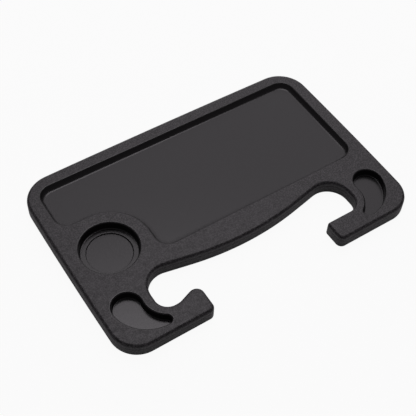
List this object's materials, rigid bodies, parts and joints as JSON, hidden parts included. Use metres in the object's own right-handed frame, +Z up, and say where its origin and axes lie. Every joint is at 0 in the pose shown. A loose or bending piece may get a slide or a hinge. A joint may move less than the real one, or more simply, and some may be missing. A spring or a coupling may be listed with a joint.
{
  "type": "steering wheel tray",
  "caption": "Flat moulded tray with two front hooks for a steering wheel's rim, a wide shallow well, a stepped cup recess and comma-shaped side recesses.",
  "frame": {"origin": "centre of the tray's plan, at the lower faces of the pads", "axes": "+X to the right across the width, +Y away from the hooks towards the straight back edge, +Z up out of the top face"},
  "size_m": [0.4216, 0.2778, 0.02],
  "materials": {
    "black_abs": "fine-grained rim and walls, smoother satin recess floors",
    "black_steel": "black oxide",
    "black_rubber": "matte"
  },
  "bodies": {
    "root": {"top_shell": "black_abs", "bottom_shell": "black_abs", "screw_01": "black_steel", "screw_02": "black_steel", "screw_03": "black_steel", "screw_04": "black_steel", "screw_05": "black_steel", "screw_06": "black_steel", "screw_07": "black_steel", "screw_08": "black_steel", "screw_09": "black_steel", "screw_10": "black_steel", "screw_11": "black_steel", "screw_12": "black_steel", "pad_1": "black_rubber", "pad_2": "black_rubber", "pad_3": "black_rubber", "pad_4": "black_rubber", "pad_5": "black_rubber", "pad_6": "black_rubber"}
  },
  "joints": []
}
